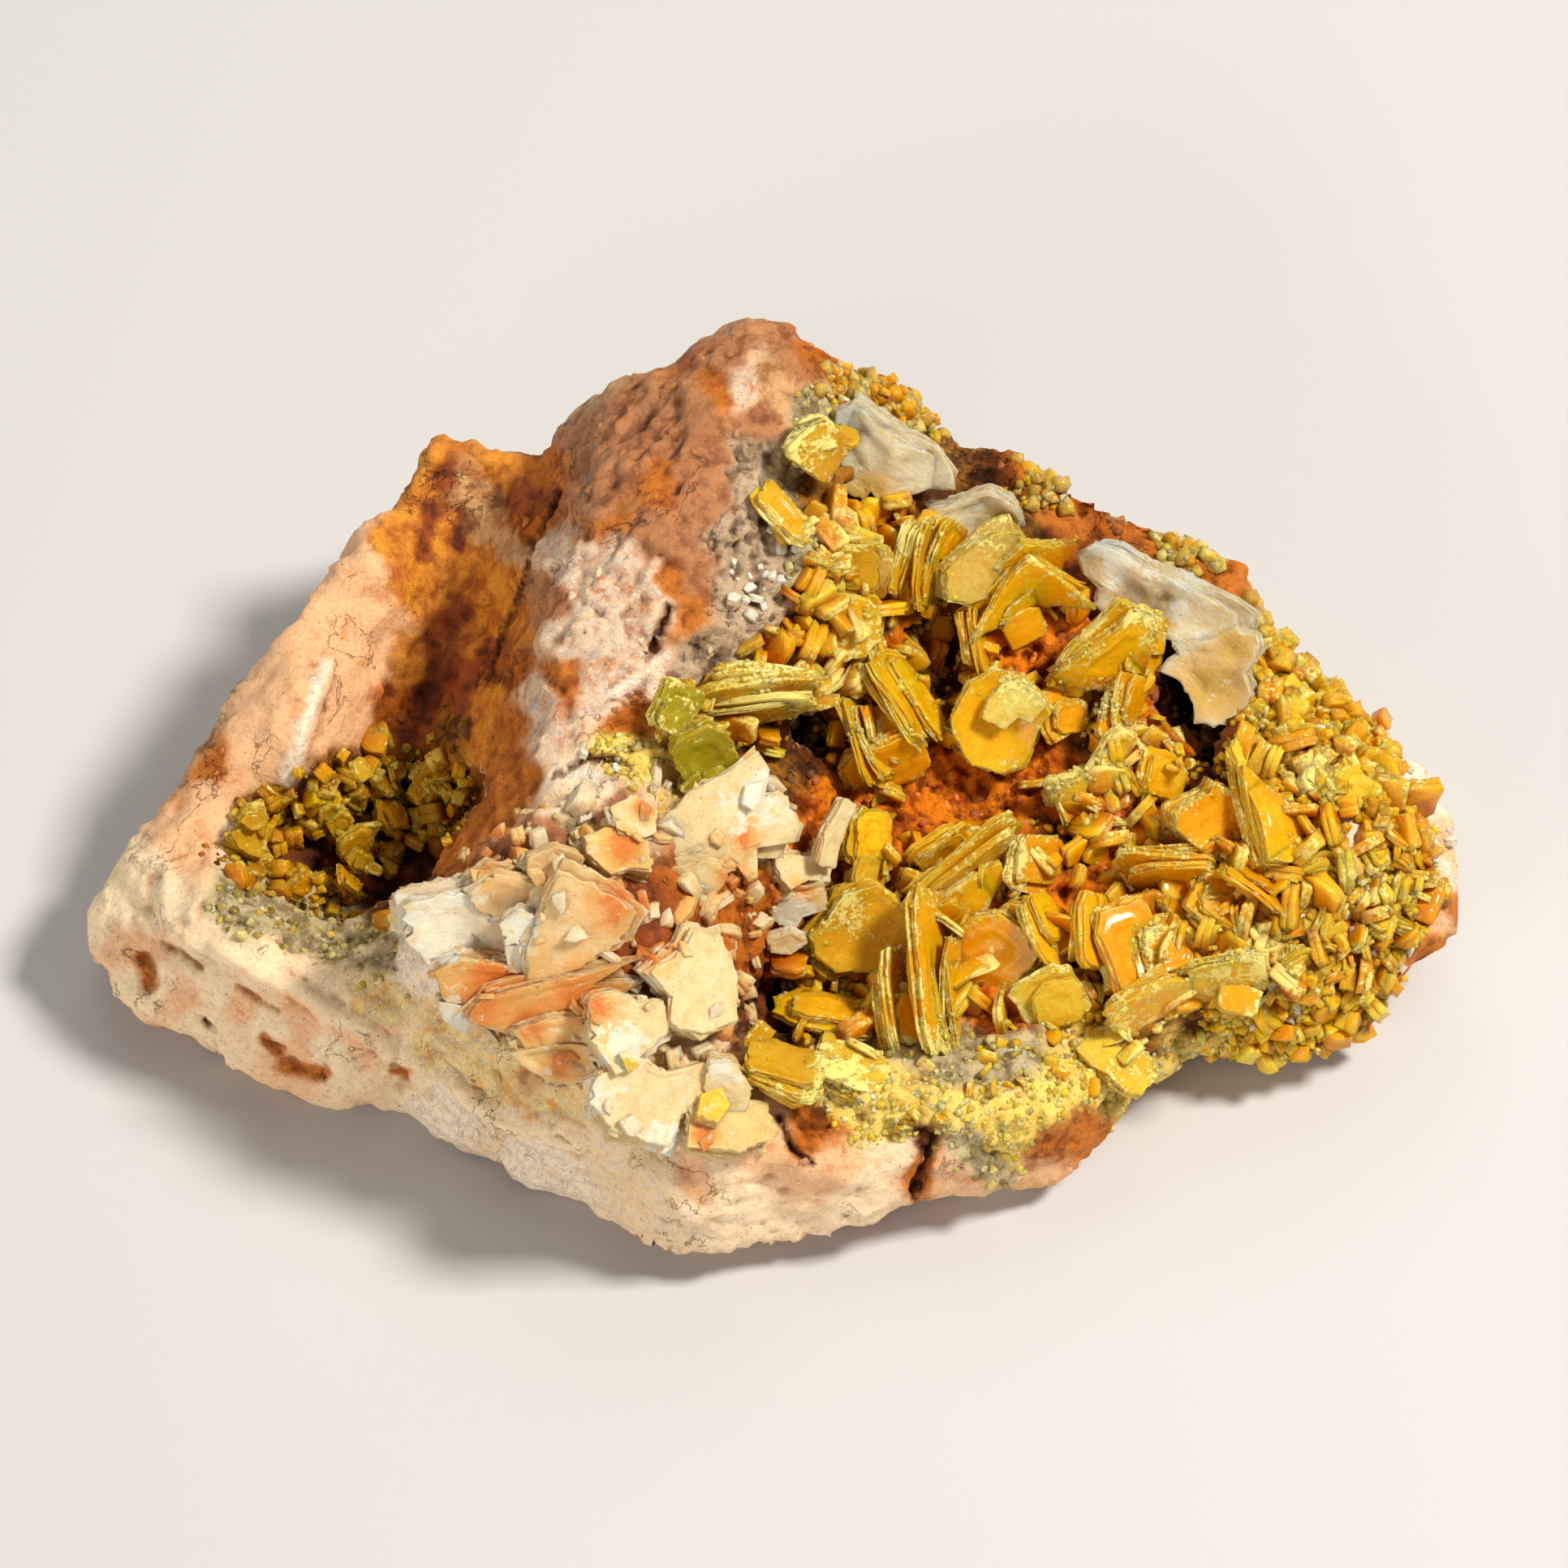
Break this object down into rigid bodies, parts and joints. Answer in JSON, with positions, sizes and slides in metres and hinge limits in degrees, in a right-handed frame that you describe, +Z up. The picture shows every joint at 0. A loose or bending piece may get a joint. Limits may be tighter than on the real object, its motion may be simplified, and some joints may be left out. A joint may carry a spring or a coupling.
{
  "type": "wulfenite crystal specimen",
  "caption": "Loose hand specimen of honey-yellow tabular wulfenite crystals in a hollow of orange-stained rock, with a fan of cream barite blades.",
  "frame": {"origin": "on the resting plane, under the middle of the specimen's bounding box", "axes": "+X to the right along the specimen's length, +Y away from the viewer, +Z up; the crystal-covered display face leans back 35 degrees from level and faces -Y and +Z"},
  "size_m": [0.0672, 0.0448, 0.0243],
  "materials": {
    "matrix_rock": "rough broken barite rock, peach to cream, stained rust orange and brown by iron oxide",
    "wulfenite": "glossy translucent honey-yellow crystals with frosted cream edges",
    "pocket_wulfenite": "glossy olive-yellow small crystals over dark brown",
    "cream_barite": "satin, slightly translucent cream to peach blades",
    "pale_barite": "satin, translucent grey-white sheets"
  },
  "bodies": {
    "root": {"matrix_rock": "matrix_rock", "wulfenite_crust": "wulfenite", "left_pocket_crust": "pocket_wulfenite", "barite_blades": "cream_barite", "pale_plate_top": "pale_barite", "pale_plate_middle": "pale_barite", "pale_plate_right": "pale_barite", "pale_plate_edge": "pale_barite"}
  },
  "joints": []
}
